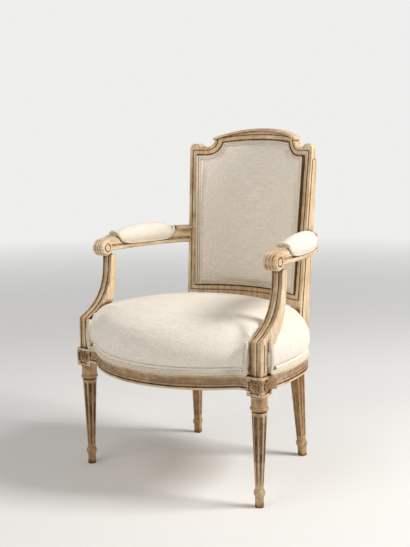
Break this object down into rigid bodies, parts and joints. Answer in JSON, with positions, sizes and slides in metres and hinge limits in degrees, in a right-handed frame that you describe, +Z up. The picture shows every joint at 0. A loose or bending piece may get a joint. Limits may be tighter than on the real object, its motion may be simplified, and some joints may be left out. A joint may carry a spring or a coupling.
{
  "type": "upholstered armchair",
  "caption": "Painted fauteuil with an upholstered bowed back, open arms with scrolled fronts and pads, a crowned seat with double welts and fluted legs.",
  "frame": {"origin": "on the floor, midway between the sides of the chair and between its front and its back", "axes": "+Z up, +Y towards the back of the chair, +X towards the right side seen from the front"},
  "size_m": [0.604, 0.5875, 0.885],
  "materials": {
    "painted_wood": "worn cream paint over brown wood",
    "bare_wood": "bare beech",
    "screw_steel": "dull",
    "webbing": "woven jute",
    "burlap": "coarse weave",
    "stuffing": "packed fibre",
    "linen": "slubbed linen",
    "linen_welt": "linen cord"
  },
  "bodies": {
    "root": {"arm_dowels": "bare_wood", "arm_pad_cover_left": "linen", "arm_pad_cover_right": "linen", "arm_pad_stuffing_left": "stuffing", "arm_pad_stuffing_right": "stuffing", "arm_pad_welt_left": "linen_welt", "arm_pad_welt_right": "linen_welt", "arm_support_left": "painted_wood", "arm_support_right": "painted_wood", "armrest_left": "painted_wood", "armrest_right": "painted_wood", "back_bottom_rail": "painted_wood", "back_burlap": "burlap", "back_cover": "linen", "back_stuffing": "stuffing", "back_webbing": "webbing", "back_welt": "linen_welt", "corner_block_front_left": "bare_wood", "corner_block_front_right": "bare_wood", "corner_block_rear_left": "bare_wood", "corner_block_rear_right": "bare_wood", "corner_block_screws": "screw_steel", "crest_rail": "painted_wood", "front_leg_left": "painted_wood", "front_leg_right": "painted_wood", "front_rail": "painted_wood", "outside_back_cover": "linen", "outside_back_welt": "linen_welt", "rear_leg_left": "painted_wood", "rear_leg_right": "painted_wood", "rear_rail": "bare_wood", "seat_burlap": "burlap", "seat_cover": "linen", "seat_frame_pegs": "bare_wood", "seat_stuffing": "stuffing", "seat_webbing": "webbing", "seat_welt_front": "linen_welt", "seat_welt_rear": "linen_welt", "seat_welt_side_left": "linen_welt", "seat_welt_side_right": "linen_welt", "side_rail_left": "painted_wood", "side_rail_right": "painted_wood"}
  },
  "joints": []
}
